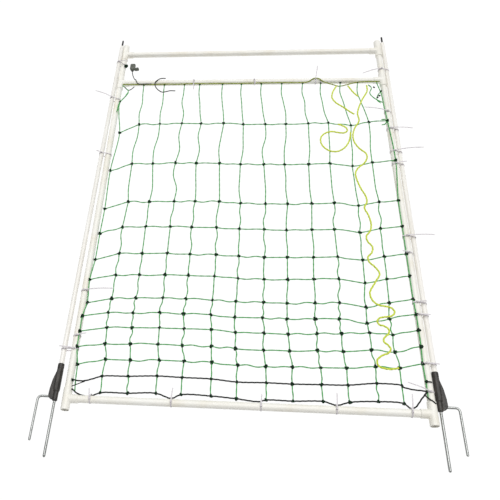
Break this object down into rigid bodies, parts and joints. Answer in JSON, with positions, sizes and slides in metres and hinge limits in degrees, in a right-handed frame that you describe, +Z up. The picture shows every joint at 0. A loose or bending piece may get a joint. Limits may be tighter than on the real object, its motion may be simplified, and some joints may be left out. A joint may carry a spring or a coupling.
{
  "type": "electric poultry netting gate",
  "caption": "Poultry netting gate: a plastic pipe frame strung with knotted twine, tied to two step-in posts with ground spikes.",
  "frame": {"origin": "middle of the bounding box, cords left out, at floor level", "axes": "X across the gate, Y up the gate from the foot end to the top, Z up from the floor that the gate lies on"},
  "size_m": [1.1906, 1.6692, 0.0414],
  "materials": {
    "pvc_pipe": "off-white PVC pipe and tees, slightly yellowed",
    "post_rod": "white plastic-coated rod",
    "foot_plastic": "black-brown moulded plastic",
    "spike_steel": "galvanised steel rod",
    "tip_plastic": "black plastic tip",
    "net_twine": "green twisted polyethylene twine",
    "black_line": "black twisted twine",
    "top_line": "yellow-green twisted line",
    "yellow_rope": "yellow-green braided polyethylene rope",
    "cable_tie": "natural nylon cable tie",
    "clip_plastic": "dark grey-green plastic clip"
  },
  "bodies": {
    "hinge_post": {"right_foot": "foot_plastic", "right_post": "post_rod", "right_post_tip": "tip_plastic", "right_spike": "spike_steel", "right_tread_spike": "spike_steel"},
    "gate": {"black_line_1": "black_line", "black_line_2": "black_line", "bottom_rail": "pvc_pipe", "bottom_tee_left": "pvc_pipe", "bottom_tee_right": "pvc_pipe", "bottom_tie_1": "cable_tie", "bottom_tie_2": "cable_tie", "bottom_tie_3": "cable_tie", "bottom_tie_4": "cable_tie", "bottom_tie_5": "cable_tie", "lead_clip": "clip_plastic", "lead_knot": "net_twine", "lead_wire": "black_line", "left_foot": "foot_plastic", "left_post": "post_rod", "left_post_tip": "tip_plastic", "left_spike": "spike_steel", "left_tie_1": "cable_tie", "left_tie_2": "cable_tie", "left_tie_3": "cable_tie", "left_tie_4": "cable_tie", "left_tie_5": "cable_tie", "left_tie_6": "cable_tie", "left_tread_spike": "spike_steel", "lower_stile_left": "pvc_pipe", "lower_stile_right": "pvc_pipe", "net_rail": "pvc_pipe", "net_rail_tie_1": "cable_tie", "net_rail_tie_2": "cable_tie", "net_rail_tie_3": "cable_tie", "net_tee_left": "pvc_pipe", "net_tee_right": "pvc_pipe", "netting": "net_twine", "right_tie_1": "cable_tie", "right_tie_10": "cable_tie", "right_tie_11": "cable_tie", "right_tie_2": "cable_tie", "right_tie_3": "cable_tie", "right_tie_4": "cable_tie", "right_tie_5": "cable_tie", "right_tie_6": "cable_tie", "right_tie_7": "cable_tie", "right_tie_8": "cable_tie", "right_tie_9": "cable_tie", "rope_end": "yellow_rope", "rope_loop": "yellow_rope", "rope_strand": "yellow_rope", "top_line": "top_line", "top_rail": "pvc_pipe", "top_tee_left": "pvc_pipe", "top_tee_right": "pvc_pipe", "upper_stile_left": "pvc_pipe", "upper_stile_right": "pvc_pipe", "wire_curl": "black_line", "yellow_rope": "yellow_rope"}
  },
  "joints": [
    {"name": "gate_swing", "type": "hinge", "parent": "hinge_post", "child": "gate", "pos_m": [0.51628, 0, 0.0098], "axis": [0, 1, 0], "range_deg": [-100, 100]}
  ]
}
